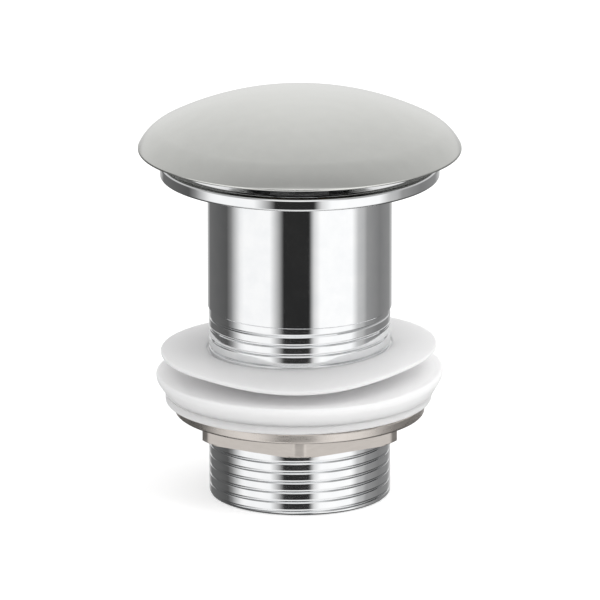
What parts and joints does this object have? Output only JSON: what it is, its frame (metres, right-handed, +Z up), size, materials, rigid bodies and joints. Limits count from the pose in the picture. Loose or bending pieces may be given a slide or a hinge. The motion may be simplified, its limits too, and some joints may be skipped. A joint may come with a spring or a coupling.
{
  "type": "pop up basin waste",
  "caption": "Pop-up basin waste: domed plug on a spring click cartridge in a flanged, threaded tube, with loose washers, a tapered seal and a back nut on the tail.",
  "frame": {"origin": "centre of the tail end, which the waste stands on", "axes": "+Z up along the tube towards the domed cap, +X towards the high side of the leaning washers, -Y towards the viewer of the picture"},
  "size_m": [0.074, 0.074, 0.0944],
  "materials": {
    "bright_chrome": "bright chrome plate on brass",
    "satin_chrome": "satin chrome plate on brass",
    "satin_nickel": "satin nickel plate on brass",
    "raw_brass": "turned, unplated",
    "stainless_steel": "turned or drawn",
    "white_acetal": "moulded",
    "black_acetal": "moulded",
    "black_rubber": "moulded",
    "milky_plastic": "moulded, slightly translucent"
  },
  "bodies": {
    "waste": {"waste_body": "bright_chrome", "bridge": "raw_brass", "cartridge_housing": "white_acetal", "gland_nut": "raw_brass", "rod_o_ring": "black_rubber", "return_spring": "stainless_steel", "spring_seat": "stainless_steel", "retaining_nut": "raw_brass"},
    "plug": {"push_rod": "stainless_steel", "cross_pin": "stainless_steel", "rod_locknut": "stainless_steel", "cap_boss": "bright_chrome", "seal_carrier": "black_acetal", "plug_seal": "black_rubber", "dome_cap": "satin_chrome"},
    "cam": {"cam_sleeve": "white_acetal"},
    "slip_washer": {"slip_washer": "milky_plastic"},
    "back_nut": {"back_nut": "satin_nickel"},
    "tapered_seal": {"tapered_seal": "milky_plastic"},
    "flange_washer": {"flange_washer": "milky_plastic"}
  },
  "joints": [
    {"name": "plug_press", "type": "slide", "parent": "waste", "child": "plug", "axis": [0, 0, 1], "range_m": [-0.0055, 0], "stiffness_N_per_m": 350, "springref_m": 0.012, "deforming": ["return_spring"]},
    {"name": "cam_turn", "type": "hinge", "parent": "waste", "child": "cam", "pos_m": [0, 0, 0.055], "axis": [0, 0, 1], "range_deg": [0, 51]},
    {"name": "nut_travel", "type": "slide", "parent": "waste", "child": "slip_washer", "axis": [0, 0, 1], "range_m": [-0.0116, 0.0221]},
    {"name": "nut_turn", "type": "hinge", "parent": "slip_washer", "child": "back_nut", "pos_m": [0, 0, 0.0182], "axis": [0, 0, 1], "range_deg": [-1790, 3430]},
    {"name": "seal_lift", "type": "slide", "parent": "slip_washer", "child": "tapered_seal", "axis": [0, 0, 1], "range_m": [0, 0.008]},
    {"name": "washer_lift", "type": "slide", "parent": "tapered_seal", "child": "flange_washer", "axis": [0, 0, 1], "range_m": [-0.0025, 0.008]}
  ],
  "couplings": [
    {"joint": "cam_turn", "follows": "plug_press", "rad_per_m": -158.67},
    {"joint": "nut_travel", "follows": "nut_turn", "m_per_rad": 0.00036749}
  ]
}
